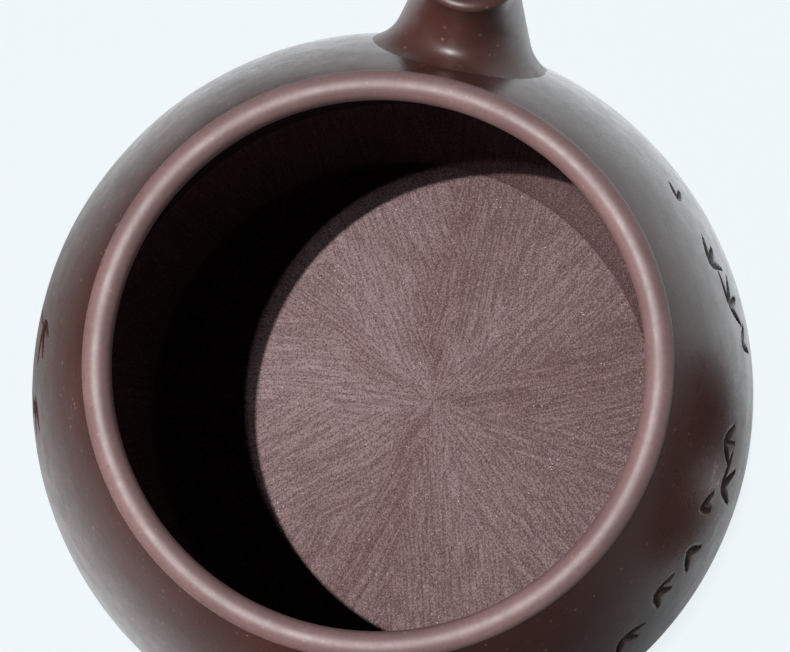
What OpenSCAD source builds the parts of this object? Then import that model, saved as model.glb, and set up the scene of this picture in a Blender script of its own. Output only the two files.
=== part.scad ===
// Round clay teapot with a pressed lid, built from luted slabs of clay.
// Millimetres, +Z up. The origin is the centre of the foot, on the table.
// The spout points along +X and the handle along -X. The lid stands on its flange on the -Y side.

/* [Pot] */
// Largest outside diameter of the belly
belly_d = 86; // [84:0.5:88]
// Height of the widest point of the belly
belly_h = 27; // [26:0.5:28]
// Height of the top of the rim
rim_h = 66; // [65:0.5:67]
// Inside diameter of the mouth
mouth_d = 60; // [59:0.5:61]
// Width of the rounded lip around the mouth
lip_w = 3.3; // [3.1:0.1:3.5]
// Thickness of the clay walls
wall = 3; // [2.8:0.1:3.2]
// Outside diameter of the foot
foot_d = 64; // [62:0.5:66]
// Height of the foot ring
foot_h = 3; // [2.6:0.1:3.2]
// Thickness of the slab under the tea
base_t = 3; // [2.6:0.1:3.4]

/* [Spout and handle] */
// Thickness of the spout's wall
spout_wall = 2.2; // [1.8:0.1:2.4]
// Half width of the spout just below its lip
spout_half_w = 5.6; // [5.4:0.1:6]
// Half width of the handle where it leaves the shoulder
handle_half_w = 4.8; // [4.2:0.1:5.2]
// Diameter of the holes in the strainer
strainer_hole_d = 1.5; // [1.3:0.1:1.6]

/* [Lid] */
// Outside diameter of the lid
lid_d = 66.5; // [66:0.5:67]
// Depth of the flange that goes into the mouth
flange_h = 8; // [7:0.5:9]
// Space between the flange and the mouth, on each side
flange_gap = 0.25; // [0.2:0.05:0.4]
// Height that the dome rises above its edge
dome_rise = 8; // [7.5:0.5:9]
// Diameter of the air hole through the knob
vent_d = 2.4; // [2:0.1:2.8]
// Diameter of the knob's ball
knob_d = 12.6; // [12:0.2:13.4]
// Distance of the lid from the pot's axis
lid_away = 90; // [86:1:110]

/* [Hidden] */
$fn = 128;
clay = [0.36, 0.22, 0.2];
clay_dark = [0.3, 0.18, 0.17];
clay_inner = [0.42, 0.28, 0.26];

belly_r = belly_d / 2;
mouth_r = mouth_d / 2;
foot_r = foot_d / 2;
lip_r = mouth_r + lip_w;
base_top = foot_h + base_t;
// Heights where the shoulder slab meets the wall, and where the lip sits in the shoulder
shoulder_h = 52;
lip_base_h = rim_h - 4;
lip_seam_h = rim_h - lip_w / 2 - 0.05;

// Two arcs make the outside: they share an upright tangent at the belly's widest point.
rise = lip_seam_h - belly_h;
draw_in = belly_r - lip_r;
upper_r = (rise * rise + draw_in * draw_in) / (2 * draw_in);
drop = belly_h - foot_h;
tuck_in = belly_r - foot_r;
lower_r = (drop * drop + tuck_in * tuck_in) / (2 * tuck_in);

foot_w = 3.4;
foot_edge = 0.6;

// Side view of the spout as [x, z] curves: the line nearest the lid, and the line furthest from it
spout_near = [[30, 52], [39, 57.5], [41, 67.2]];
spout_far = [[36, 24], [47.5, 40], [51.2, 60.2]];
spout_root_half_w = 12;
spout_flare = 0.5;
spout_rings = 18;
spout_sides = 32;
channel_over = 0.06;

// The hole through the wall behind the spout, square to the wall, and the dished strainer in it
port_h = 42;
port_r = 7;
port_rise = asin((port_h - belly_h) / upper_r);
port_x = belly_r - upper_r + sqrt(pow(upper_r - wall, 2) - pow(port_h - belly_h, 2));
strainer_t = 1.3;
strainer_bulge = 1.8;
strainer_dish_r = 16;
// Rows of holes as [distance from the port's axis, number of holes]
strainer_rows = [[0, 1], [2.4, 6], [4.8, 12]];

// Centre line of the handle as [x, z], from the shoulder round to the belly
handle_line = [[-31, 51], [-55, 73], [-95, 48], [-30, 9]];
handle_rings = 40;
handle_sides = 24;
handle_taper = 0.72;
handle_flat = 0.8;
handle_root_flare = 1.6;

lid_r = lid_d / 2;
lid_t = 2.8;
lid_line_h = 2.4;
lid_edge_r = lid_r - lid_line_h;
lid_dome_edge_r = lid_r - lid_line_h / 2;
dome_top = flange_h + lid_line_h - 0.2 + dome_rise;
dome_r = (pow(lid_dome_edge_r, 2) + pow(dome_rise, 2)) / (2 * dome_rise);
dome_z = dome_top - dome_r;
flange_r = mouth_r - flange_gap;
flange_w = 2.5;
knob_neck_r = 3.3;
knob_ball_z = dome_top + 7.4;
knob_foot_r = 5.2;
knob_fillet = 2;

function mix(a, b, t) = a + (b - a) * t;
function curve(p, t) = len(p) == 1
    ? p[0]
    : curve([for (i = [0 : len(p) - 2]) mix(p[i], p[i + 1], t)], t);

// One ring of the spout at t from root to lip, drawn in by inset
function spout_ring(t, inset) =
    let (near = curve(spout_near, t))
    let (far = curve(spout_far, t))
    let (centre = (near + far) / 2)
    let (reach = norm(near - far) / 2)
    let (along = (near - far) / (2 * reach))
    let (flare = spout_flare * pow(max(0, (t - 0.8) / 0.2), 2))
    let (half_w = mix(spout_half_w, spout_root_half_w, pow(max(0, 1 - t), 1.6)) + flare)
    [for (j = [0 : spout_sides - 1])
        let (turn = 360 * j / spout_sides)
        let (a = (reach + flare - inset) * cos(turn))
        [centre[0] + along[0] * a, (half_w - inset) * sin(turn), centre[1] + along[1] * a]];

// One ring of the handle at t, square to the centre line
function handle_ring(t) =
    let (centre = curve(handle_line, t))
    let (ahead = curve(handle_line, t + 0.01) - curve(handle_line, t - 0.01))
    let (side = [ahead[1], -ahead[0]] / norm(ahead))
    let (ends = pow(abs(2 * t - 1), 8))
    let (half_w = handle_half_w * mix(1, handle_taper, t) * mix(1, handle_root_flare, ends))
    [for (j = [0 : handle_sides - 1])
        let (turn = 360 * j / handle_sides)
        let (a = half_w * handle_flat * cos(turn))
        [centre[0] + side[0] * a, half_w * sin(turn), centre[1] + side[1] * a]];

// Closed solid through rings that all have the same number of points
module loft(rings) {
    n = len(rings[0]);
    last = len(rings) - 1;
    points = [for (ring = rings, p = ring) p];
    skin = [for (i = [0 : last - 1], j = [0 : n - 1])
        [i * n + j, i * n + (j + 1) % n, (i + 1) * n + (j + 1) % n, (i + 1) * n + j]];
    start = [for (j = [n - 1 : -1 : 0]) j];
    end = [for (j = [0 : n - 1]) last * n + j];
    polyhedron(points, concat([start], skin, [end]));
}

// Half section of the solid pot, drawn in from its outer surface by inset
module pot_half(inset = 0) {
    intersection() {
        translate([belly_r - upper_r, belly_h]) circle(r = upper_r - inset);
        translate([0, belly_h]) square([belly_r + 1, rim_h - belly_h]);
    }
    intersection() {
        translate([belly_r - lower_r, belly_h]) circle(r = lower_r - inset);
        square([belly_r + 1, belly_h]);
    }
}

// The part of a half section between two heights
module band(low, high) {
    intersection() {
        children();
        translate([0, low]) square([belly_r + 1, high - low]);
    }
}

module wall_half() {
    difference() {
        pot_half();
        pot_half(wall);
    }
}

// Everything inside the outer surface, for cutting what is luted onto it
module pot_solid() {
    rotate_extrude() band(foot_h, lip_seam_h) pot_half();
}

module port() {
    translate([port_x, 0, port_h]) rotate([0, 90 - port_rise, 0]) children();
}

module foot_ring() {
    color(clay_dark)
    rotate_extrude()
    polygon([
        [foot_r - foot_w, foot_edge],
        [foot_r - foot_w + foot_edge, 0],
        [foot_r - 2 * foot_edge, 0],
        [foot_r - foot_edge, foot_edge],
        [foot_r, foot_h],
        [foot_r - foot_w, foot_h]
    ]);
}

module base_disc() {
    color(clay_inner)
    rotate_extrude() band(foot_h, base_top) pot_half();
}

module body_wall() {
    color(clay)
    difference() {
        rotate_extrude() band(base_top, shoulder_h) wall_half();
        port() translate([0, 0, -wall]) cylinder(r = port_r, h = 5 * wall);
    }
}

module shoulder_disc() {
    color(clay)
    rotate_extrude()
    difference() {
        band(shoulder_h, rim_h) wall_half();
        translate([0, lip_base_h]) square([lip_r, rim_h]);
    }
}

module mouth_rim() {
    color(clay_inner)
    rotate_extrude() {
        translate([mouth_r, lip_base_h]) square([lip_w, rim_h - lip_w / 2 - lip_base_h]);
        translate([mouth_r + lip_w / 2, rim_h - lip_w / 2]) circle(d = lip_w);
    }
}

module spout() {
    color(clay_dark)
    difference() {
        loft([for (i = [0 : spout_rings]) spout_ring(i / spout_rings, 0)]);
        loft([for (i = [0 : spout_rings + 1])
            spout_ring(mix(0, 1 + channel_over, i / (spout_rings + 1)), spout_wall)]);
        pot_solid();
    }
}

// A dished disc that closes the port and bulges into the pot
module spout_strainer() {
    color(clay_inner)
    port()
    difference() {
        rotate_extrude()
        intersection() {
            translate([0, strainer_dish_r - strainer_bulge])
            difference() {
                circle(r = strainer_dish_r);
                circle(r = strainer_dish_r - strainer_t);
            }
            translate([0, -strainer_dish_r]) square([port_r, 2 * strainer_dish_r - strainer_bulge]);
        }
        for (row = strainer_rows, i = [0 : row[1] - 1])
            rotate([0, 0, 360 * i / row[1]])
            translate([row[0], 0, -2 * strainer_bulge])
            cylinder(d = strainer_hole_d, h = 4 * strainer_bulge, $fn = 24);
    }
}

module handle() {
    color(clay_dark)
    difference() {
        loft([for (i = [0 : handle_rings]) handle_ring(i / handle_rings)]);
        pot_solid();
    }
}

module at_lid() {
    translate([0, -lid_away, 0]) children();
}

module vent() {
    cylinder(d = vent_d, h = 2 * knob_ball_z, $fn = 32);
}

module lid_disc() {
    color(clay)
    at_lid()
    difference() {
        rotate_extrude()
        intersection() {
            difference() {
                translate([0, dome_z]) circle(r = dome_r);
                translate([0, dome_z]) circle(r = dome_r - lid_t);
            }
            translate([0, flange_h]) square([lid_edge_r, dome_top]);
        }
        vent();
    }
}

module lid_line() {
    color(clay_inner)
    at_lid()
    rotate_extrude() {
        translate([lid_edge_r, flange_h]) square([lid_line_h / 2, lid_line_h]);
        translate([lid_dome_edge_r, flange_h + lid_line_h / 2]) circle(d = lid_line_h);
    }
}

module lid_flange() {
    color(clay_inner)
    at_lid()
    rotate_extrude()
    intersection() {
        translate([flange_r - flange_w, 0]) square([flange_w, dome_top]);
        translate([0, dome_z]) circle(r = dome_r - lid_t);
    }
}

module knob() {
    color(clay_dark)
    at_lid()
    difference() {
        rotate_extrude()
        difference() {
            intersection() {
                union() {
                    translate([0, knob_ball_z]) circle(d = knob_d);
                    translate([0, flange_h]) square([knob_neck_r, knob_ball_z - flange_h]);
                    difference() {
                        translate([0, flange_h]) square([knob_foot_r, dome_top + knob_fillet - flange_h]);
                        translate([knob_foot_r + 0.1, dome_top + knob_fillet]) circle(r = knob_fillet);
                    }
                }
                square([knob_d, 2 * knob_ball_z]);
            }
            translate([0, dome_z]) circle(r = dome_r);
        }
        vent();
    }
}

foot_ring();
base_disc();
body_wall();
shoulder_disc();
mouth_rim();
spout();
spout_strainer();
handle();
lid_disc();
lid_line();
lid_flange();
knob();
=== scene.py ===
"""The looks of a round, unglazed clay teapot: open pot with its lid standing beside it.

Everything is in metres in the CAD frame: +Z up, +X along the spout, origin at the centre of the foot.
"""

import math

import bmesh
import bpy
import numpy as np
from mathutils import Matrix, Vector, noise


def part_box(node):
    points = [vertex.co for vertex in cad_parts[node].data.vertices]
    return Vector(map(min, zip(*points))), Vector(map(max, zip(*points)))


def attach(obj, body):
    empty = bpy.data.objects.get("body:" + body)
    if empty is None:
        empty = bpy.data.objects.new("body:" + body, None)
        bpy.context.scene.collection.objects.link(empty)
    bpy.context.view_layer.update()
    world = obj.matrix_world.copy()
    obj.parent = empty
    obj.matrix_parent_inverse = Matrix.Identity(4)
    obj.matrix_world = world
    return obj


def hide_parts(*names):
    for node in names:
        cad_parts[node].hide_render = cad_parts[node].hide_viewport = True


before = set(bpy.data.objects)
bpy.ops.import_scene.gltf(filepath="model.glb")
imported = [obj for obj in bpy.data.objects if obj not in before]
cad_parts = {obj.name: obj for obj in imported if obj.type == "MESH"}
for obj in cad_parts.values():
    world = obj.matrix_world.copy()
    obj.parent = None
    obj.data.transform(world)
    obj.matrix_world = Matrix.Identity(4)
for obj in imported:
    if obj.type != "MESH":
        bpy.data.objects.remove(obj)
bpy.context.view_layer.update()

MM = 0.001


def node_box(name):
    """Lowest and highest corner of a CAD node, in millimetres."""
    low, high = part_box(name)
    return np.array(low) / MM, np.array(high) / MM


# ---------------------------------------------------------------- sizes, in millimetres, from the frame

WALL_HIGH = node_box("body_wall")[1]
SHOULDER_HIGH = node_box("shoulder_disc")[1]
RIM_HIGH = node_box("mouth_rim")[1]
BASE_HIGH = node_box("base_disc")[1]
FOOT_HIGH = node_box("foot_ring")[1]
LINE_LOW, LINE_HIGH = node_box("lid_line")
FLANGE_HIGH = node_box("lid_flange")[1]
DISC_HIGH = node_box("lid_disc")[1]
KNOB_LOW, KNOB_HIGH = node_box("knob")

BELLY_R = WALL_HIGH[0]
BELLY_Z = 27.0
WALL = 3.0
RIM_Z = RIM_HIGH[2]
LIP_R = RIM_HIGH[0]
LIP_W = 3.3
MOUTH_R = LIP_R - LIP_W
SEAM_Z = SHOULDER_HIGH[2]
FOOT_R = FOOT_HIGH[0]
FOOT_Z = FOOT_HIGH[2]
FLOOR_Z = BASE_HIGH[2]

# The outside is two arcs that share an upright tangent at the belly.
RISE, DRAW_IN = SEAM_Z - BELLY_Z, BELLY_R - LIP_R
UPPER_R = (RISE**2 + DRAW_IN**2) / (2 * DRAW_IN)
DROP, TUCK_IN = BELLY_Z - FOOT_Z, BELLY_R - FOOT_R
LOWER_R = (DROP**2 + TUCK_IN**2) / (2 * TUCK_IN)

LID_AT = np.array([(LINE_LOW[0] + LINE_HIGH[0]) / 2, (LINE_LOW[1] + LINE_HIGH[1]) / 2, 0.0])
LID_R = LINE_HIGH[0] - LID_AT[0]
LID_SEAT_Z = LINE_LOW[2]
LID_LINE_H = LINE_HIGH[2] - LINE_LOW[2]
LID_TOP_Z = DISC_HIGH[2]
LID_T = 2.8
FLANGE_R = FLANGE_HIGH[0] - LID_AT[0]
FLANGE_W = 2.5
KNOB_R = (KNOB_HIGH[1] - KNOB_LOW[1]) / 2
KNOB_TOP_Z = KNOB_HIGH[2]
VENT_R = 1.2

# Side views as [x, z] curves, as the CAD draws them
SPOUT_NEAR = [(30, 52), (39, 57.5), (41, 67.2)]
SPOUT_FAR = [(36, 24), (47.5, 40), (51.2, 60.2)]
SPOUT_HALF_W = 5.6
SPOUT_ROOT_HALF_W = 12.0
SPOUT_FLARE = 0.5
SPOUT_WALL = 2.2
HANDLE_LINE = [(-31, 51), (-55, 73), (-95, 48), (-30, 9)]
HANDLE_HALF_W = 4.8
HANDLE_TAPER = 0.72
HANDLE_FLAT = 0.8

PORT_Z = 42.0
PORT_R = 7.0
PORT_RISE = math.asin((PORT_Z - BELLY_Z) / UPPER_R)


# ---------------------------------------------------------------- helpers

def smooth(t):
    """0 below 0, 1 above 1, and a smooth step between."""
    t = np.clip(t, 0.0, 1.0)
    return t * t * (3 - 2 * t)


def outer_radius(z, inset=0.0):
    """Radius of the pot's outside at height z, drawn in by inset."""
    z = np.asarray(z, float)
    arc = np.where(z > BELLY_Z, UPPER_R, LOWER_R)
    return BELLY_R - arc + np.sqrt(np.maximum((arc - inset) ** 2 - (z - BELLY_Z) ** 2, 0.0))


def outer_normal(z):
    """Outward normal of the pot's outside at height z, as (radial, up)."""
    arc = np.where(np.asarray(z) > BELLY_Z, UPPER_R, LOWER_R)
    up = (z - BELLY_Z) / arc
    return np.sqrt(1 - up**2), up


def bezier(points, t):
    points = [np.array(p, float) for p in points]
    while len(points) > 1:
        points = [a + (b - a) * t for a, b in zip(points, points[1:])]
    return points[0]


def arc_points(centre, radius, start, end, count):
    """Points of an arc as (r, z), with angles in degrees."""
    angles = np.radians(np.linspace(start, end, count))
    return [(centre[0] + radius * math.cos(a), centre[1] + radius * math.sin(a)) for a in angles]


def make_piece(name, points, faces, body, replaces=()):
    """A smooth-shaded mesh piece from points in millimetres."""
    mesh = bpy.data.meshes.new(name)
    mesh.from_pydata((np.asarray(points, float) * MM).tolist(), [], faces)
    mesh.validate()
    piece = bpy.data.objects.new(name, mesh)
    bpy.context.scene.collection.objects.link(piece)
    work = bmesh.new()
    work.from_mesh(mesh)
    bmesh.ops.recalc_face_normals(work, faces=work.faces)
    work.to_mesh(mesh)
    work.free()
    mesh.shade_smooth()
    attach(piece, body)
    if replaces:
        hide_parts(*replaces)
    return piece


def grid_faces(rows, columns, closed_rows=False, first=0):
    """Quads of a grid whose columns go round, and whose rows may close on themselves too."""
    last = rows if closed_rows else rows - 1
    return [
        (
            first + i * columns + j,
            first + i * columns + (j + 1) % columns,
            first + (i + 1) % rows * columns + (j + 1) % columns,
            first + (i + 1) % rows * columns + j,
        )
        for i in range(last)
        for j in range(columns)
    ]


def turned(profile, columns, at=(0.0, 0.0, 0.0), wobble=0.0, seed=0.0):
    """Points of a profile of (r, z) turned round an upright axis, with a hand-made wobble."""
    turns = np.arange(columns) * 2 * math.pi / columns
    rows = []
    for r, z in profile:
        ring = []
        for a in turns:
            x, y = math.cos(a), math.sin(a)
            drift = wobble * noise.noise(Vector((x * 1.3 + seed, y * 1.3, z * 0.05))) if wobble else 0.0
            ring.append(((r + drift) * x + at[0], (r + drift) * y + at[1], z + at[2]))
        rows.extend(ring)
    return rows


def turned_piece(name, profile, body, replaces=(), at=(0.0, 0.0, 0.0), columns=256, wobble=0.0):
    """A ring-shaped piece whose profile is a closed loop of (r, z)."""
    points = turned(profile, columns, at, wobble, seed=len(name))
    return make_piece(name, points, grid_faces(len(profile), columns, True), body, replaces)


def capped_piece(name, profile, body, replaces=(), at=(0.0, 0.0, 0.0), columns=256, wobble=0.0):
    """A turned piece whose open profile starts and ends on the axis, closed there by single points."""
    points = turned(profile[1:-1], columns, at, wobble, seed=len(name))
    faces = grid_faces(len(profile) - 2, columns)
    start, end = len(points), len(points) + 1
    points += [(at[0], at[1], profile[0][1] + at[2]), (at[0], at[1], profile[-1][1] + at[2])]
    last = (len(profile) - 3) * columns
    faces += [(start, (j + 1) % columns, j) for j in range(columns)]
    faces += [(end, last + j, last + (j + 1) % columns) for j in range(columns)]
    return make_piece(name, points, faces, body, replaces)


# ---------------------------------------------------------------- the pot's wall, with its carving

def leaf(at, turn, length, width):
    """One pointed cut, from a place as (distance round the belly, height), with its turn in degrees."""
    return {"at": at, "turn": math.radians(turn), "length": length, "width": width}


def sprig(azimuth, z, turns, length=5.5, width=1.25):
    """Leaves that hang from one point, which is given by its azimuth in degrees and its height."""
    at = (math.radians(azimuth) * BELLY_R, z)
    return [leaf(at, turn, length * (1 - 0.09 * k), width) for k, turn in enumerate(turns)]


STEM_WIDTH = 0.8


def stem(azimuth, z, turn, length):
    return leaf((math.radians(azimuth) * BELLY_R, z), turn, length, STEM_WIDTH)


# Bamboo leaves below the shoulder on the -Y side, and a bamboo branch on the +Y side
CARVING = (
    sprig(-46, 49.5, (-70, -25), 3.4, 1.0)
    + sprig(-58, 49, (-95, -60, -25), 5.5)
    + sprig(-65, 45.5, (-110, -75, -40, 10), 6.5)
    + sprig(-71, 41.5, (-95, -50), 5.0)
    + sprig(-88, 49, (-120, -85, -55), 5.5)
    + sprig(-95, 45.5, (-100, -60, -15), 6.5)
    + sprig(-100, 50, (-80, -40), 4.2)
    + sprig(-107, 47.5, (-115, -70), 5.0)
    + sprig(-116, 48.5, (-100, -60, -20), 4.8)
    + sprig(-125, 46, (-110, -65, -30), 5.2)
    + [stem(84, 26, 74, 11), stem(88, 37, 66, 12), stem(94, 33, 20, 9), stem(100, 36, 48, 10)]
    + sprig(93, 47.5, (-20, 20, 60), 6.0, 1.5)
    + sprig(97, 36, (-60, -25, 10), 6.5, 1.5)
    + sprig(105, 44, (-70, -30, 15), 6.0, 1.5)
    + sprig(110, 37, (-100, -65, -25), 5.5, 1.5)
    + sprig(88, 31, (-45, -80, 5), 5.5, 1.5)
)
CARVING_DEPTH = 0.32
CARVED_ZONES = ((-134, -42), (79, 119))
CARVED_HEIGHTS = (24.0, 56.0)
FINE_TURN, COARSE_TURN = 0.36, 1.5
FINE_STEP, COARSE_STEP = 0.27, 0.9


def uneven_steps(start, end, fine_ranges, fine, coarse):
    """Values from start to end in coarse steps, and in fine steps inside the ranges."""
    values, value = [], start
    while value < end - 1e-6:
        values.append(value)
        inside = any(low <= value < high for low, high in fine_ranges)
        value += fine if inside else coarse
    return values


def carved_depth(along, height):
    """How far each point of the wall is cut in, from 0 to 1."""
    depth = np.zeros_like(along)
    for cut in CARVING:
        du, dv = along - cut["at"][0], height - cut["at"][1]
        cos, sin = math.cos(cut["turn"]), math.sin(cut["turn"])
        t = (du * cos + dv * sin) / cut["length"]
        across = np.abs(-du * sin + dv * cos)
        half_width = cut["width"] / 2 * np.sin(math.pi * np.clip(t, 0, 1) ** 0.7)
        inside = (t > 0) & (t < 1) & (half_width > 0.02)
        edge = np.where(inside, 1 - across / np.maximum(half_width, 0.02), 0)
        depth = np.maximum(depth, smooth(edge * 1.6))
    return depth


def wall_piece():
    turns = np.radians(uneven_steps(-180, 180, CARVED_ZONES, FINE_TURN, COARSE_TURN))
    heights = uneven_steps(FOOT_Z, SEAM_Z, (CARVED_HEIGHTS,), FINE_STEP, COARSE_STEP) + [SEAM_Z]
    outer = [(float(outer_radius(z)), z) for z in heights]
    top_in = [(LIP_R - 0.9, SEAM_Z - 0.2), (MOUTH_R + 1.0, RIM_Z - 3.6)]
    inner = [(float(outer_radius(z, WALL)), z) for z in np.linspace(RIM_Z - 4.4, FLOOR_Z + 0.4, 34)]
    under = [(inner[-1][0] - 0.4, FLOOR_Z - 0.8), (FOOT_R - 3.0, FOOT_Z)]
    profile = outer + top_in + inner + under
    count = len(turns)
    rows = []
    carve = []
    for k, (r, z) in enumerate(profile):
        radius = np.full(count, r)
        depth = np.zeros(count)
        level = np.full(count, z)
        if k < len(outer):
            depth = carved_depth(turns * BELLY_R, level) * smooth((z - FOOT_Z) / 2)
            out, up = outer_normal(z)
            fade = float(smooth((SEAM_Z - z) / 6) * smooth((z - FOOT_Z) / 6))
            beaten = np.array([
                noise.noise(Vector((math.cos(a) * 3.1, math.sin(a) * 3.1, z * 0.07))) for a in turns
            ])
            radius = radius - out * depth * CARVING_DEPTH - fade * 0.05 * (1 + beaten)
            level = level - up * depth * CARVING_DEPTH
        rows.append(np.stack([radius * np.cos(turns), radius * np.sin(turns), level], 1))
        carve.append(depth)
    points = np.concatenate(rows)
    faces = grid_faces(len(profile), count, True)
    piece = make_piece("pot_wall", points, faces, "pot", ["body_wall", "shoulder_disc"])
    # The carving depth is kept on the points, and the body material darkens the cuts by it as painted shade
    attribute = piece.data.attributes.new("carve", "FLOAT", "POINT")
    attribute.data.foreach_set("value", np.concatenate(carve).astype(np.float32))
    cut_port(piece)
    return piece


def port_frame():
    """Matrix that takes the port's own frame, with Z outwards along the port, to the pot's, in metres."""
    x = BELLY_R - UPPER_R + math.sqrt((UPPER_R - WALL) ** 2 - (PORT_Z - BELLY_Z) ** 2)
    turn = Matrix.Rotation(math.pi / 2 - PORT_RISE, 4, "Y")
    return Matrix.Translation(Vector((x, 0, PORT_Z)) * MM) @ turn


def cut_port(piece):
    """Cuts the round hole behind the spout through the wall."""
    work = bmesh.new()
    bmesh.ops.create_cone(work, cap_ends=True, segments=96, radius1=PORT_R * MM, radius2=PORT_R * MM,
                          depth=4 * WALL * MM, matrix=port_frame())
    mesh = bpy.data.meshes.new("port_cutter")
    work.to_mesh(mesh)
    work.free()
    cutter = bpy.data.objects.new("port_cutter", mesh)
    bpy.context.scene.collection.objects.link(cutter)
    cut = piece.modifiers.new("port", "BOOLEAN")
    cut.operation = "DIFFERENCE"
    cut.solver = "EXACT"
    cut.object = cutter
    bpy.context.view_layer.update()
    result = bpy.data.meshes.new_from_object(piece.evaluated_get(bpy.context.evaluated_depsgraph_get()))
    piece.modifiers.clear()
    piece.data = result
    result.name = piece.name
    bpy.data.objects.remove(cutter)


# ---------------------------------------------------------------- rim, floor and foot

def rim_piece():
    """A lip whose rounded top is a little flatter than a circle."""
    middle_r, half_w = MOUTH_R + LIP_W / 2, LIP_W / 2
    lip = [
        (
            middle_r + half_w * math.copysign(abs(math.cos(a)) ** 0.9, math.cos(a)),
            RIM_Z - half_w + half_w * math.sin(a) ** 0.86,
        )
        for a in np.radians(np.linspace(180, 0, 41))
    ]
    seam = [(LIP_R - 0.03, SEAM_Z - 0.1), (LIP_R - 0.25, SEAM_Z - 0.4), (LIP_R - 0.6, SEAM_Z - 0.9)]
    inside = [(MOUTH_R + 1.4, RIM_Z - 4.0), (float(outer_radius(RIM_Z - 5.4, WALL)) + 0.1, RIM_Z - 5.4),
              (float(outer_radius(RIM_Z - 5.2, WALL)) - 0.06, RIM_Z - 5.2), (MOUTH_R + 0.55, RIM_Z - 4.4),
              (MOUTH_R + 0.2, RIM_Z - 3.6), (MOUTH_R + 0.04, RIM_Z - 2.6)]
    return turned_piece("rim", lip + seam + inside, "pot", ["mouth_rim"],
                        columns=384, wobble=0.05)


def floor_piece():
    """The slab under the tea, with a soft fillet up to the wall."""
    fillet_r, fillet_h = 3.0, 2.4
    edge_r = float(outer_radius(FLOOR_Z + fillet_h, WALL)) + 0.1
    flat = [(r, FLOOR_Z) for r in np.linspace(0.0, edge_r - fillet_r, 60)]
    fillet = [(edge_r - fillet_r * (1 - t), FLOOR_Z + fillet_h * t**2.4) for t in np.linspace(0.08, 1, 10)]
    below = [(edge_r + 0.3, FLOOR_Z + 0.2), (FOOT_R - 2.9, FOOT_Z + 0.02), (FOOT_R - 3.6, FOOT_Z - 0.02)]
    under = [(r, FOOT_Z - 0.02) for r in np.linspace(FOOT_R - 4, 0.0, 12)]
    return capped_piece("inner_floor", flat + fillet + below + under, "pot", ["base_disc"])


def foot_piece():
    inner_r = FOOT_R - 3.4
    outside = [(FOOT_R + 0.25, FOOT_Z + 0.3), (FOOT_R - 0.02, FOOT_Z - 0.15), (FOOT_R - 0.22, FOOT_Z - 0.8),
               (FOOT_R - 0.45, FOOT_Z - 1.8)]
    toe = arc_points((FOOT_R - 1.25, 0.75), 0.75, 0, -90, 8)
    heel = arc_points((inner_r + 0.75, 0.75), 0.75, -90, -180, 8)
    top = [(inner_r, FOOT_Z - 0.1), (inner_r - 0.3, FOOT_Z + 0.3), (inner_r + 1.5, FOOT_Z + 0.5)]
    return turned_piece("foot", outside + toe + heel + top, "pot", ["foot_ring"])


# ---------------------------------------------------------------- spout and handle, blended onto the wall

def height_over_wall(point):
    """Distance of a point (x, y, z) outside the pot's outer surface, roughly, in millimetres."""
    r = math.hypot(point[0], point[1])
    z = point[2]
    arc = UPPER_R if z > BELLY_Z else LOWER_R
    return math.hypot(r - (BELLY_R - arc), z - BELLY_Z) - arc


def wall_normal(point):
    r = math.hypot(point[0], point[1])
    arc = UPPER_R if point[2] > BELLY_Z else LOWER_R
    n = np.array([r - (BELLY_R - arc), point[2] - BELLY_Z])
    n /= np.linalg.norm(n)
    return np.array([n[0] * point[0] / r, n[0] * point[1] / r, n[1]])


def wall_crossing(line, height):
    """The part of a line of points that is higher over the wall than height, and the point where it ends."""
    kept = [line[0]]
    for a, b in zip(line, line[1:]):
        ha, hb = height_over_wall(a), height_over_wall(b)
        if hb < height:
            share = (ha - height) / max(ha - hb, 1e-9)
            kept.append(a + (b - a) * min(max(share, 0.0), 1.0))
            return kept
        kept.append(b)
    return kept


def blended_roots(lines, fillets, steps=10, sink=0.22):
    """Ends each line of a tube in a curve out along the wall, away from the middle of the tube's root."""
    feet = [wall_crossing(line, 0.0)[-1] for line in lines]
    middle = sum(feet) / len(feet)
    blended = []
    for line, foot, fillet in zip(lines, feet, fillets):
        kept = wall_crossing(line, fillet)
        normal = wall_normal(foot)
        outward = foot - middle
        outward = outward - normal * np.dot(outward, normal)
        end = foot + outward / np.linalg.norm(outward) * fillet * 1.25
        end = end - wall_normal(end) * (height_over_wall(end) + sink)
        root = [bezier([kept[-1], foot, end], k / steps) for k in range(1, steps + 1)]
        blended.append((kept, root))
    return blended


def spout_section(t, inset=0.0):
    near, far = bezier(SPOUT_NEAR, t), bezier(SPOUT_FAR, t)
    centre = (near + far) / 2
    reach = np.linalg.norm(near - far) / 2
    along = (near - far) / (2 * reach)
    flare = SPOUT_FLARE * max(0.0, (t - 0.8) / 0.2) ** 2
    half_w = SPOUT_HALF_W + (SPOUT_ROOT_HALF_W - SPOUT_HALF_W) * max(0.0, 1 - t) ** 1.6 + flare
    return centre, along, reach + flare - inset, half_w - inset


def spout_point(t, turn, inset=0.0):
    centre, along, reach, half_w = spout_section(t, inset)
    a = reach * math.cos(turn)
    return np.array([centre[0] + along[0] * a, half_w * math.sin(turn), centre[1] + along[1] * a])


SPOUT_COLUMNS = 96
SPOUT_OUTSIDE_ROWS = 44
SPOUT_FILLET, SPOUT_NEAR_FILLET = 2.2, 5.0


def resampled(line, count):
    """A polyline as count points at even distances."""
    line = np.array(line)
    gone = np.concatenate([[0], np.cumsum(np.linalg.norm(np.diff(line, axis=0), axis=1))])
    want = np.linspace(0, gone[-1], count)
    return np.stack([np.interp(want, gone, line[:, k]) for k in range(3)], 1)


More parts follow.
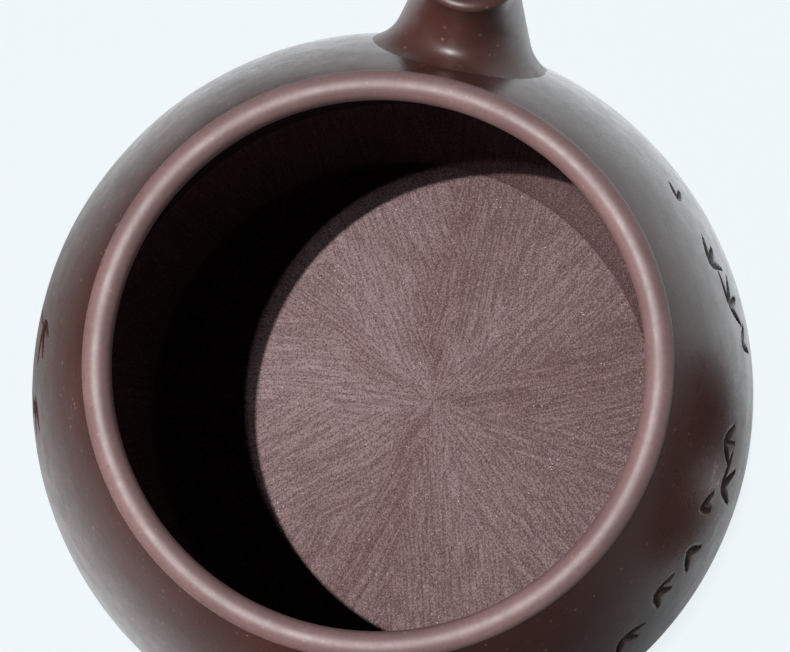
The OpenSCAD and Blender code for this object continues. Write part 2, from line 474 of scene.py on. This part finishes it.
def spout_piece():
    columns = []
    lip_t = 0.985
    turns = [2 * math.pi * j / SPOUT_COLUMNS for j in range(SPOUT_COLUMNS)]
    lines = [[spout_point(t, turn) for t in np.linspace(lip_t, 0.0, 90)] for turn in turns]
    fillets = [SPOUT_FILLET + (SPOUT_NEAR_FILLET - SPOUT_FILLET) * max(0.0, math.cos(turn)) for turn in turns]
    for turn, (kept, root) in zip(turns, blended_roots(lines, fillets)):
        outside = resampled(kept, SPOUT_OUTSIDE_ROWS)
        centre, along, _, _ = spout_section(1.0)
        axis = np.array([-along[1], 0.0, along[0]])
        if axis[2] < 0:
            axis = -axis
        lip_out, lip_in = spout_point(lip_t, turn), spout_point(lip_t, turn, SPOUT_WALL)
        across = (lip_in - lip_out) / 2
        lip = [
            (lip_out + lip_in) / 2 - across * math.cos(a) + axis * 0.95 * math.sin(a)
            for a in np.linspace(math.pi, 0, 12)[:-1]
        ]
        channel = [spout_point(t, turn, SPOUT_WALL) for t in np.linspace(lip_t, 0.25, 26)]
        inside = []
        for p in channel:
            if height_over_wall(p) < -1.0:
                break
            inside.append(p)
        inside = resampled(inside, 24)
        close = [inside[-1] * 0.5 + root[-1] * 0.5]
        columns.append(np.concatenate([root[::-1], outside[::-1][:-1], lip[::-1], inside, close]))
    rows = len(columns[0])
    points = np.stack(columns, 1).reshape(-1, 3)
    faces = grid_faces(rows, SPOUT_COLUMNS, True)
    return make_piece("spout_shell", points, faces, "pot", ["spout"])


def handle_section(t):
    centre = bezier(HANDLE_LINE, t)
    ahead = bezier(HANDLE_LINE, t + 0.01) - bezier(HANDLE_LINE, t - 0.01)
    side = np.array([ahead[1], -ahead[0]]) / np.linalg.norm(ahead)
    half_w = HANDLE_HALF_W * (1 + (HANDLE_TAPER - 1) * t)
    half_w *= 1 + 0.35 * abs(2 * t - 1) ** 8
    return centre, side, half_w


def handle_point(t, turn):
    centre, side, half_w = handle_section(t)
    a = half_w * HANDLE_FLAT * math.cos(turn)
    return np.array([centre[0] + side[0] * a, half_w * math.sin(turn), centre[1] + side[1] * a])


HANDLE_COLUMNS = 64
UPPER_FILLET, LOWER_FILLET = 1.8, 1.4


def handle_half(end, fillet, turns):
    """The lines of the handle from its middle to one end, with that root blended onto the wall."""
    lines = [[handle_point(t, turn) for t in np.linspace(0.5, end, 120)] for turn in turns]
    return blended_roots(lines, [fillet] * HANDLE_COLUMNS)


def handle_piece():
    turns = [2 * math.pi * j / HANDLE_COLUMNS for j in range(HANDLE_COLUMNS)]
    uppers = handle_half(0, UPPER_FILLET, turns)
    lowers = handle_half(1, LOWER_FILLET, turns)
    columns = []
    for (upper, upper_root), (lower, lower_root) in zip(uppers, lowers):
        upper, lower = resampled(upper, 50), resampled(lower, 50)
        columns.append(np.concatenate([upper_root[::-1], upper[::-1], lower[1:], lower_root]))
    rows = len(columns[0])
    points = list(np.stack(columns, 1).reshape(-1, 3))
    faces = grid_faces(rows, HANDLE_COLUMNS)
    for row in (0, rows - 1):
        ring = [row * HANDLE_COLUMNS + j for j in range(HANDLE_COLUMNS)]
        middle = sum(points[k] for k in ring) / HANDLE_COLUMNS
        points.append(middle - wall_normal(middle) * 0.3)
        tip = len(points) - 1
        faces += [(tip, ring[(j + 1) % HANDLE_COLUMNS], ring[j]) for j in range(HANDLE_COLUMNS)]
    return make_piece("handle_loop", points, faces, "pot", ["handle"])


# ---------------------------------------------------------------- lid

def lid_pieces():
    edge_r = LID_R - LID_LINE_H / 2
    rise = LID_TOP_Z - (LID_SEAT_Z + LID_LINE_H - 0.2)
    dome_r = (edge_r**2 + rise**2) / (2 * rise)
    dome_z = LID_TOP_Z - dome_r

    def dome(r, inset=0.0):
        return dome_z + math.sqrt((dome_r - inset) ** 2 - r * r)

    disc_r = LID_R - LID_LINE_H + 0.6
    over = [(r, dome(r)) for r in np.linspace(VENT_R, disc_r, 60)]
    below = [(disc_r - 0.2, LID_SEAT_Z + 0.4)]
    inside = [(r, dome(r, LID_T)) for r in np.linspace(FLANGE_R - 0.8, VENT_R, 40)]
    turned_piece("lid_dome", over + below + inside, "lid", ["lid_disc"], LID_AT, wobble=0.03)

    line_r = LID_LINE_H / 2
    round_edge = arc_points((LID_R - line_r, LID_SEAT_Z + line_r), line_r, -90, 90, 20)
    seam_r = LID_R - 2.15
    crease = [(seam_r + 0.45, dome(seam_r + 0.45) + 0.2), (seam_r + 0.15, dome(seam_r) + 0.06),
              (seam_r - 0.25, dome(seam_r - 0.25) - 0.05), (seam_r - 0.4, LID_SEAT_Z + 1.0)]
    seat = [(FLANGE_R - 0.3, LID_SEAT_Z + 0.5), (FLANGE_R + 0.25, LID_SEAT_Z)]
    turned_piece("lid_edge", round_edge + crease + seat, "lid", ["lid_line"], LID_AT, wobble=0.04)

    inner_r = FLANGE_R - FLANGE_W
    outside = [(FLANGE_R - 0.1, LID_SEAT_Z + 0.8), (FLANGE_R, LID_SEAT_Z - 0.4), (FLANGE_R, 1.0)]
    toe = arc_points((FLANGE_R - 0.6, 0.6), 0.6, 0, -90, 7)
    heel = arc_points((inner_r + 0.6, 0.6), 0.6, -90, -180, 7)
    fillet = [(inner_r, LID_SEAT_Z - 1.0), (inner_r - 0.25, LID_SEAT_Z + 0.2),
              (inner_r - 1.4, dome(inner_r - 1.4, LID_T) - 0.04), (inner_r - 1.3, dome(inner_r, LID_T) + 1.0)]
    profile = outside + toe + heel + fillet
    turned_piece("lid_collar", profile, "lid", ["lid_flange"], LID_AT, wobble=0.03)

    ball_z = KNOB_TOP_Z - KNOB_R
    start = math.degrees(math.acos(VENT_R / KNOB_R))
    ball = arc_points((0, ball_z), KNOB_R, start, -56, 36)
    neck_top = ball[-1]
    neck = [
        (3.45 + 0.25 * (1 - t), neck_top[1] + (LID_TOP_Z + 1.2 - neck_top[1]) * t) for t in (0.5, 0.8, 1.0)
    ]
    foot = [(3.75, LID_TOP_Z + 0.7), (4.3, LID_TOP_Z + 0.25), (5.3, dome(5.3) + 0.03),
            (5.6, dome(5.6) - 0.05), (4.0, dome(4.0) - 0.5), (VENT_R, LID_TOP_Z - 0.4)]
    vent_lip = [(VENT_R, ball[0][1] - 0.35), (VENT_R + 0.12, ball[0][1] - 0.08)]
    turned_piece("knob_ball", ball + neck + foot + vent_lip, "lid", ["knob"], LID_AT, 96, 0.04)


# ---------------------------------------------------------------- materials

class Nodes:
    """Short names for making a material's nodes."""

    def __init__(self, name):
        self.material = bpy.data.materials.new(name)
        self.material.use_nodes = True
        self.tree = self.material.node_tree
        self.shader = self.tree.nodes["Principled BSDF"]
        self.place = self.add("ShaderNodeTexCoord").outputs["Object"]

    def add(self, kind, inputs=(), **settings):
        made = self.tree.nodes.new(kind)
        for key, value in settings.items():
            setattr(made, key, value)
        for key, value in dict(inputs).items():
            self.put(made.inputs[key], value)
        return made

    def put(self, socket, value):
        if isinstance(value, bpy.types.NodeSocket):
            self.tree.links.new(value, socket)
        else:
            socket.default_value = value

    def noise(self, size_mm, detail=2.0, rough=0.5, vector=None):
        """A noise whose features are about size_mm wide."""
        scale = 1.0 / size_mm if vector is not None else 1000.0 / size_mm
        made = self.add("ShaderNodeTexNoise", {"Vector": vector or self.place, "Scale": scale,
                                               "Detail": detail, "Roughness": rough})
        return made.outputs["Fac"]

    def grains(self, size_mm, low, high):
        """1 on scattered round grains about size_mm wide, and 0 between them."""
        cells = self.add("ShaderNodeTexVoronoi", {"Vector": self.place, "Scale": 1000.0 / size_mm})
        return self.span(cells.outputs["Distance"], high, low)

    def span(self, value, low, high, to_low=0.0, to_high=1.0):
        made = self.add("ShaderNodeMapRange", {"Value": value, "From Min": low, "From Max": high,
                                               "To Min": to_low, "To Max": to_high})
        return made.outputs["Result"]

    def math(self, operation, a, b=0.0, c=0.0):
        return self.add("ShaderNodeMath", {0: a, 1: b, 2: c}, operation=operation).outputs[0]

    def mix(self, share, a, b):
        made = self.add("ShaderNodeMix", {"Factor": share}, data_type="RGBA")
        colour_in = [s for s in made.inputs if s.type == "RGBA"]
        for socket, value in zip(colour_in, (a, b)):
            self.put(socket, (*value, 1.0) if isinstance(value, tuple) else value)
        return [s for s in made.outputs if s.type == "RGBA"][0]

    def tones(self, share, stops):
        """A smooth grey ramp over 0 to 1, from (place, grey) pairs."""
        ramp = self.add("ShaderNodeValToRGB", {"Fac": share})
        ramp.color_ramp.interpolation = "EASE"
        made = ramp.color_ramp.elements
        while len(made) < len(stops):
            made.new(0.5)
        for stop, (place, grey) in zip(made, stops):
            stop.position = place
        for stop, (place, grey) in zip(made, stops):
            stop.color = (grey, grey, grey, 1.0)
        return ramp.outputs["Color"]

    def bump(self, height, depth_mm, normal=None):
        inputs = {"Height": height, "Distance": depth_mm * MM}
        if normal is not None:
            inputs["Normal"] = normal
        return self.add("ShaderNodeBump", inputs).outputs["Normal"]


def tinted(colour, factor):
    return tuple(min(1.0, c * factor) for c in colour)


CLAY = (0.056, 0.020, 0.016)
# The rim's colour is a much lighter copy of the body clay: painted highlight for the light on the rounded lip
# and the lid's edge, on top of their real sheen
RIM_CLAY_PAINTED_LIGHT = (0.165, 0.098, 0.096)
# The inside colour is a much darker copy of the clay: painted shade for the inner walls and the strainer,
# which lie in shadow
INNER_CLAY_PAINTED_SHADE = (0.026, 0.013, 0.011)
FLOOR_DARK, FLOOR_PALE = (0.055, 0.026, 0.025), (0.29, 0.20, 0.20)
DRY_CLAY = (0.115, 0.055, 0.048)
SAND = (0.30, 0.20, 0.16)


def burnished_clay(name, colour=CLAY, roughness=0.29, shine=0.55, carved=False):
    """Fine clay that was rubbed smooth before firing: a soft sheen, faint mottling and small sand grains."""
    n = Nodes(name)
    cloud = n.noise(9.0, 3.0, 0.6)
    fine = n.noise(0.45, 3.0, 0.65)
    base = n.mix(n.span(cloud, 0.35, 0.65), tinted(colour, 0.86), tinted(colour, 1.14))
    base = n.mix(n.span(fine, 0.35, 0.7, 0.0, 0.55), base, tinted(colour, 0.66))
    pale = n.math("MULTIPLY", n.grains(1.1, 0.12, 0.2), n.span(n.noise(2.2), 0.5, 0.6))
    base = n.mix(n.math("MULTIPLY", pale, 0.4), base, SAND)
    dark = n.math("MULTIPLY", n.grains(1.7, 0.1, 0.17), n.span(n.noise(2.9), 0.5, 0.6))
    base = n.mix(n.math("MULTIPLY", dark, 0.4), base, tinted(colour, 0.4))
    gloss = n.span(n.noise(3.0, 4.0, 0.7), 0.3, 0.7, roughness - 0.045, roughness + 0.05)
    if carved:
        # The colour in the carved cuts is darkened almost to black: painted shade in the recesses. The extra
        # roughness there is their own duller finish.
        cut = n.add("ShaderNodeAttribute", attribute_name="carve").outputs["Fac"]
        base = n.mix(n.math("MULTIPLY", cut, 0.85), base, tinted(colour, 0.16))
        gloss = n.math("ADD", gloss, n.math("MULTIPLY", cut, 0.35))
    n.put(n.shader.inputs["Base Color"], base)
    n.put(n.shader.inputs["Roughness"], gloss)
    n.shader.inputs["Specular IOR Level"].default_value = shine
    swell = n.bump(n.noise(6.0, 2.0), 0.035)
    skin = n.bump(fine, 0.010, swell)
    rubbed = n.add("ShaderNodeMapping", {"Vector": n.place, "Scale": (1.0, 1.0, 6.0)})
    marks = n.noise(0.9, 2.0, 0.6, n.add("ShaderNodeVectorMath", {0: rubbed.outputs[0], "Scale": 1000.0},
                                         operation="SCALE").outputs[0])
    n.put(n.shader.inputs["Normal"], n.bump(marks, 0.006, skin))
    return n.material


# Where the trowel strokes on the floor fan out from, and how grey each fan is, as (azimuth, grey)
HUB = (2.2, -3.4)
FANS = ((-180, 0.2), (-157, 0.85), (-131, 0.7), (-97, 0.4), (-66, 0.1), (-20, 0.8), (14, 0.0),
        (39, 1.0), (73, 0.35), (104, 0.9), (135, 0.45), (163, 0.0), (180, 0.2))
FAN_COUNT = 11
# Middle of the patch that is painted lighter on the floor as a painted sheen, in metres
PAINTED_SHEEN_AT = (0.002, 0.014, 0.006)


def sandy_floor(name):
    """Matte sandy clay with fine trowel strokes, which run side by side in fans round a hub."""
    n = Nodes(name)
    parts = n.add("ShaderNodeSeparateXYZ", {0: n.place})
    x = n.math("SUBTRACT", n.math("MULTIPLY", parts.outputs[0], 1000.0), HUB[0])
    y = n.math("SUBTRACT", n.math("MULTIPLY", parts.outputs[1], 1000.0), HUB[1])
    drift = n.span(n.noise(14.0, 2.0), 0.3, 0.7, -0.3, 0.3)
    turn = n.math("ADD", n.math("ARCTAN2", y, x), drift)
    share = n.span(turn, -math.pi, math.pi)
    tone = n.tones(share, [((azimuth + 180) / 360, grey) for azimuth, grey in FANS])
    # Strokes keep one direction across each fan
    fan = n.math("FLOOR", n.math("MULTIPLY", share, float(FAN_COUNT)))
    heading = n.math("MULTIPLY_ADD", fan, 2 * math.pi / FAN_COUNT, math.pi / FAN_COUNT - math.pi)
    cos, sin = n.math("COSINE", heading), n.math("SINE", heading)
    along = n.math("ADD", n.math("MULTIPLY", x, cos), n.math("MULTIPLY", y, sin))
    across = n.math("SUBTRACT", n.math("MULTIPLY", y, cos), n.math("MULTIPLY", x, sin))
    wander = n.math("MULTIPLY", n.noise(9.0, 1.0), 1.2)
    stroke_place = n.add("ShaderNodeCombineXYZ", {0: n.math("ADD", across, wander),
                                                  1: n.math("MULTIPLY", along, 0.06), 2: fan})
    strokes = n.noise(0.26, 0.0, 0.5, stroke_place.outputs[0])
    sand = n.noise(0.18, 1.0, 0.6)
    # The patch round this point is painted lighter and greyer: a painted sheen of light on the floor
    from_painted_sheen = n.add("ShaderNodeVectorMath", {0: n.place, 1: PAINTED_SHEEN_AT}, operation="DISTANCE").outputs["Value"]
    painted_sheen = n.span(from_painted_sheen, 0.044, 0.004)
    red = n.mix(painted_sheen, (0.098, 0.046, 0.045), (0.168, 0.090, 0.088))
    grey = n.mix(painted_sheen, (0.128, 0.073, 0.074), (0.250, 0.166, 0.171))
    base = n.mix(tone, red, grey)
    base = n.mix(n.span(sand, 0.36, 0.50, 0.45, 0.0), base, FLOOR_PALE)
    base = n.mix(n.span(sand, 0.50, 0.62, 0.0, 0.75), base, FLOOR_DARK)
    base = n.mix(n.span(strokes, 0.45, 0.60, 0.0, 0.24), base, FLOOR_DARK)
    ruddy = n.math("MULTIPLY", n.grains(0.55, 0.14, 0.24), n.span(n.noise(1.1), 0.5, 0.58))
    base = n.mix(n.math("MULTIPLY", ruddy, 0.35), base, (0.36, 0.16, 0.12))
    pale = n.math("MULTIPLY", n.grains(0.5, 0.12, 0.2), n.span(n.noise(1.1, 2.0), 0.56, 0.64))
    base = n.mix(n.math("MULTIPLY", pale, 0.5), base, (0.55, 0.45, 0.44))
    glint = n.math("MULTIPLY", n.grains(0.6, 0.08, 0.11), n.span(n.noise(2.3, 1.0), 0.62, 0.66))
    base = n.mix(n.math("MULTIPLY", glint, 0.8), base, (0.85, 0.82, 0.82))
    n.put(n.shader.inputs["Base Color"], base)
    n.put(n.shader.inputs["Roughness"], n.span(strokes, 0.3, 0.7, 0.62, 0.82))
    n.shader.inputs["Specular IOR Level"].default_value = 0.4
    lines = n.bump(strokes, 0.05)
    n.put(n.shader.inputs["Normal"], n.bump(sand, 0.03, lines))
    return n.material


def matte_clay(name, colour):
    """Unrubbed clay on the insides: dry, with open sand grains and wiping marks."""
    n = Nodes(name)
    sand = n.noise(0.4, 3.0, 0.7)
    wiped = n.add("ShaderNodeMapping", {"Vector": n.place, "Scale": (250.0, 250.0, 1900.0)})
    wiping = n.noise(1.0, 2.0, 0.6, wiped.outputs[0])
    base = n.mix(n.span(n.noise(7.0, 3.0), 0.35, 0.65), tinted(colour, 0.85), tinted(colour, 1.12))
    base = n.mix(n.span(sand, 0.4, 0.7, 0.0, 0.6), base, tinted(colour, 0.6))
    pale = n.math("MULTIPLY", n.grains(0.9, 0.12, 0.2), n.span(n.noise(1.9), 0.52, 0.6))
    base = n.mix(n.math("MULTIPLY", pale, 0.6), base, SAND)
    n.put(n.shader.inputs["Base Color"], base)
    n.put(n.shader.inputs["Roughness"], n.span(sand, 0.3, 0.7, 0.6, 0.78))
    n.put(n.shader.inputs["Normal"], n.bump(sand, 0.04, n.bump(wiping, 0.03)))
    return n.material


def dress(piece, *materials):
    piece.data.materials.clear()
    for material in materials:
        piece.data.materials.append(material)


# ---------------------------------------------------------------- make everything

# The body material darkens its carved cuts as painted shade
body_clay = burnished_clay("clay_body_carving_painted_shade", carved=True)
smooth_clay = burnished_clay("clay_burnished")
spout_clay = burnished_clay("clay_spout_rubbed", tinted(CLAY, 1.15), 0.44, 0.75)
# The lighter rim colour here is painted highlight; its rougher, shinier finish is real
rim_clay_painted_light = burnished_clay("clay_rim_painted_highlight", RIM_CLAY_PAINTED_LIGHT, 0.50, 0.7)
# The dark inside colour here is painted shade
inside_clay_painted_shade = matte_clay("clay_inside_painted_shade", INNER_CLAY_PAINTED_SHADE)
floor_clay = sandy_floor("clay_floor_sandy")
foot_clay = matte_clay("clay_foot_dry", DRY_CLAY)
collar_clay = matte_clay("clay_collar_dry", DRY_CLAY)

# The sandy finish of the floor runs up the inside of the wall this far, in millimetres. Above it the inner
# wall gets the much darker inside clay, which is painted shade.
SANDY_HEIGHT = 9.0

wall = wall_piece()
dress(wall, body_clay, inside_clay_painted_shade, floor_clay)
for face in wall.data.polygons:
    z = face.center.z / MM
    r = math.hypot(face.center.x, face.center.y) / MM
    if r < float(outer_radius(min(max(z, FOOT_Z), SEAM_Z), 1.0)) and z > FOOT_Z + 0.2:
        face.material_index = 2 if z < FLOOR_Z + SANDY_HEIGHT else 1
dress(rim_piece(), rim_clay_painted_light)
dress(floor_piece(), floor_clay)
dress(foot_piece(), foot_clay)
dress(spout_piece(), spout_clay)
dress(handle_piece(), smooth_clay)
dress(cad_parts["spout_strainer"], inside_clay_painted_shade)
lid_pieces()
dress(bpy.data.objects["lid_dome"], smooth_clay)
dress(bpy.data.objects["lid_edge"], rim_clay_painted_light)
dress(bpy.data.objects["lid_collar"], collar_clay)
dress(bpy.data.objects["knob_ball"], smooth_clay)


# ---------------------------------------------------------------- table, lights and camera

BACKDROP = (0.888, 0.947, 0.973)


def seen_or_lit(tree, seen, lit):
    """A strength that is one value where it is seen straight on, and another where it lights the pot."""
    path = tree.nodes.new("ShaderNodeLightPath")
    mix = tree.nodes.new("ShaderNodeMix")
    tree.links.new(path.outputs["Is Camera Ray"], mix.inputs[0])
    for socket, value in ((mix.inputs[2], lit), (mix.inputs[3], seen)):
        if isinstance(value, bpy.types.NodeSocket):
            tree.links.new(value, socket)
        else:
            socket.default_value = value
    return mix.outputs[0]


# How brightly the table lights the pot, as (azimuth, close to the pot, further off). The camera sees another
# strength, TABLE_SEEN, which is the same everywhere but in the contact shade.
POOL = ((-180, 0.30, 0.05), (-135, 0.12, 0.04), (-90, 0.78, 0.33), (-45, 1.7, 0.8), (0, 1.95, 0.75),
        (45, 1.55, 0.02), (90, 0.46, 0.01), (135, 1.3, 0.22), (180, 0.30, 0.05))
# Where close and further off are, in metres
POOL_NEAR, POOL_FAR = 0.060, 0.112
# The ramps hold values up to 1, so they hold the strengths divided by this
POOL_TOP = 2.0

TABLE_HALF = 6.0
TABLE_SEEN, CONTACT_SEEN = 0.965, 0.35
# The soft shade round whatever stands on the table reaches this far, in metres
CONTACT_REACH = 0.011


def table():
    mesh = bpy.data.meshes.new("table")
    corners = [(x * TABLE_HALF, y * TABLE_HALF, 0) for x, y in ((-1, -1), (1, -1), (1, 1), (-1, 1))]
    mesh.from_pydata(corners, [], [(0, 1, 2, 3)])
    top = bpy.data.objects.new("table", mesh)
    bpy.context.scene.collection.objects.link(top)
    n = Nodes("pale_table")
    n.shader.inputs["Base Color"].default_value = (0.25, 0.26, 0.27, 1.0)
    n.shader.inputs["Roughness"].default_value = 0.8
    n.shader.inputs["Specular IOR Level"].default_value = 0.0
    n.shader.inputs["Emission Color"].default_value = (*BACKDROP, 1.0)
    parts = n.add("ShaderNodeSeparateXYZ", {0: n.place})
    away = n.add("ShaderNodeVectorMath", {0: n.place}, operation="LENGTH").outputs["Value"]
    share = n.span(n.math("ARCTAN2", parts.outputs[1], parts.outputs[0]), -math.pi, math.pi)
    close = n.tones(share, [((azimuth + 180) / 360, near / POOL_TOP) for azimuth, near, far in POOL])
    further = n.tones(share, [((azimuth + 180) / 360, far / POOL_TOP) for azimuth, near, far in POOL])
    pool = n.add("ShaderNodeMix", {0: n.span(away, POOL_NEAR, POOL_FAR), 2: close, 3: further}).outputs[0]
    pool = n.math("MULTIPLY", pool, POOL_TOP)
    contact = n.add("ShaderNodeAmbientOcclusion", {"Distance": CONTACT_REACH}, samples=8).outputs["AO"]
    seen = n.span(contact, 0.0, 1.0, CONTACT_SEEN, TABLE_SEEN)
    n.put(n.shader.inputs["Emission Strength"], seen_or_lit(n.tree, seen, pool))
    mesh.materials.append(n.material)
    return top


ROOM_LIT, ROOM_SEEN = 0.24, 1.0


def world_light():
    """Soft white walls low down, and a dark ceiling, so that the open pot stays dark inside."""
    world = bpy.data.worlds.new("studio")
    bpy.context.scene.world = world
    world.use_nodes = True
    tree = world.node_tree
    sky = tree.nodes["Background"]
    place = tree.nodes.new("ShaderNodeTexCoord")
    parts = tree.nodes.new("ShaderNodeSeparateXYZ")
    tree.links.new(place.outputs["Generated"], parts.inputs[0])
    ramp = tree.nodes.new("ShaderNodeValToRGB")
    tree.links.new(parts.outputs[2], ramp.inputs["Fac"])
    ramp.color_ramp.interpolation = "EASE"
    low, high = ramp.color_ramp.elements
    low.position, low.color = 0.30, (*BACKDROP, 1.0)
    high.position, high.color = 0.62, (0.012, 0.012, 0.012, 1.0)
    tree.links.new(ramp.outputs["Color"], sky.inputs["Color"])
    tree.links.new(seen_or_lit(tree, ROOM_SEEN, ROOM_LIT), sky.inputs["Strength"])


def sun(name, towards, strength, spread, unlit, colour=(1.0, 1.0, 1.0)):
    """A far light. It leaves out the object unlit, so that no shadow falls there."""
    light = bpy.data.lights.new(name, "SUN")
    light.energy = strength
    light.color = colour
    light.angle = math.radians(spread)
    lamp = bpy.data.objects.new(name, light)
    bpy.context.scene.collection.objects.link(lamp)
    lamp.rotation_mode = "QUATERNION"
    lamp.rotation_quaternion = Vector(towards).to_track_quat("-Z", "Y")
    group = bpy.data.collections.new(name + "_leaves_out")
    group.objects.link(unlit)
    group.collection_objects[0].light_linking.link_state = "EXCLUDE"
    lamp.light_linking.receiver_collection = group
    return lamp


TABLE = table()
world_light()
# The key light moves the mouth's bright spot across the floor by this much, in millimetres
SPOT_SHIFT = (2.2, -11.9)
DEPTH = RIM_Z - FLOOR_Z
sun("key", (SPOT_SHIFT[0], SPOT_SHIFT[1], -DEPTH), 3.65, 0.5, TABLE)
sun("second", (SPOT_SHIFT[0] + 1.3, SPOT_SHIFT[1] + 1.6, -DEPTH), 0.35, 0.8, TABLE)
fill = sun("warm_fill", (0.5, -1.0, -0.42), 2.4, 30.0, TABLE, (1.0, 0.86, 0.8))
fill.visible_glossy = False

CAMERA_AT = Vector((-47.4, -40.25, 602.43)) * MM
LOOK_AT = Vector((4.41, -1.1, 66.0)) * MM
UP_HINT = Vector((0.9697, 0.2184, 0.1096))


def camera():
    data = bpy.data.cameras.new("camera")
    data.lens = 220.08
    data.sensor_width = 36.0
    data.clip_start, data.clip_end = 0.01, 100.0
    seen = bpy.data.objects.new("camera", data)
    bpy.context.scene.collection.objects.link(seen)
    forward = (LOOK_AT - CAMERA_AT).normalized()
    right = forward.cross(UP_HINT).normalized()
    up = right.cross(forward)
    seen.matrix_world = Matrix((
        (right.x, up.x, -forward.x, CAMERA_AT.x),
        (right.y, up.y, -forward.y, CAMERA_AT.y),
        (right.z, up.z, -forward.z, CAMERA_AT.z),
        (0, 0, 0, 1),
    ))
    bpy.context.scene.camera = seen


camera()
bpy.context.scene.view_settings.view_transform = "Standard"
